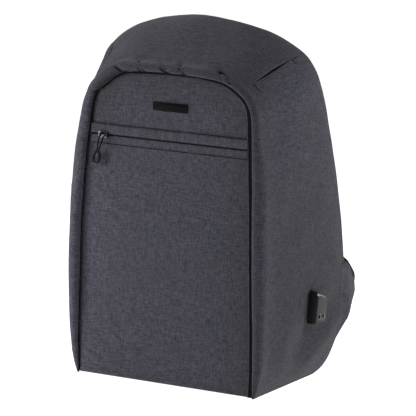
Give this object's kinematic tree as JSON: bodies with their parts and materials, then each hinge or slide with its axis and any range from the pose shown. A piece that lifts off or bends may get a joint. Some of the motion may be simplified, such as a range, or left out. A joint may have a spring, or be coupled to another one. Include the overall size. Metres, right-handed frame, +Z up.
{
  "type": "anti theft backpack",
  "caption": "Padded cloth backpack with a flat arched front in a rolled rim, a zipped front pocket, a charging port on one side and its main opening at the back.",
  "frame": {"origin": "middle of the base's underside, on the surface that the bag stands on", "axes": "+Z up, -Y out of the front panel, +Y to the wearer's back, +X to the side with the port"},
  "size_m": [0.3454, 0.2457, 0.4603],
  "materials": {
    "shell_cloth": "charcoal melange woven cloth, padded",
    "base_cloth": "dark plain woven cloth",
    "air_mesh": "dark padded spacer mesh",
    "webbing": "black webbing and cord",
    "zip_tape": "black closed zip",
    "hard_plastic": "black moulded plastic, grey outer face on the port",
    "gloss_plate": "glossy black, bare",
    "bright_metal": "small bright zip slider",
    "dark_metal": "black painted zip sliders"
  },
  "bodies": {
    "root": {"outer_shell": "shell_cloth", "front_panel": "shell_cloth", "base_board": "base_cloth", "lower_back": "base_cloth", "back_panel": "air_mesh", "main_zip": "zip_tape", "main_zip_slider_left": "dark_metal", "main_zip_slider_right": "dark_metal", "pocket_zip": "zip_tape", "upper_welt": "shell_cloth", "lower_welt": "shell_cloth", "zip_slider": "bright_metal", "puller_cord": "webbing", "puller_tip": "hard_plastic", "name_plate": "gloss_plate", "port_housing": "hard_plastic", "side_pocket": "shell_cloth", "side_pocket_hem": "webbing", "grab_handle": "webbing", "strap_wing_left": "shell_cloth", "strap_wing_right": "shell_cloth", "shoulder_strap_left": "air_mesh", "shoulder_strap_right": "air_mesh", "ladder_lock_left": "hard_plastic", "ladder_lock_right": "hard_plastic", "strap_webbing_left": "webbing", "strap_webbing_right": "webbing"}
  },
  "joints": []
}
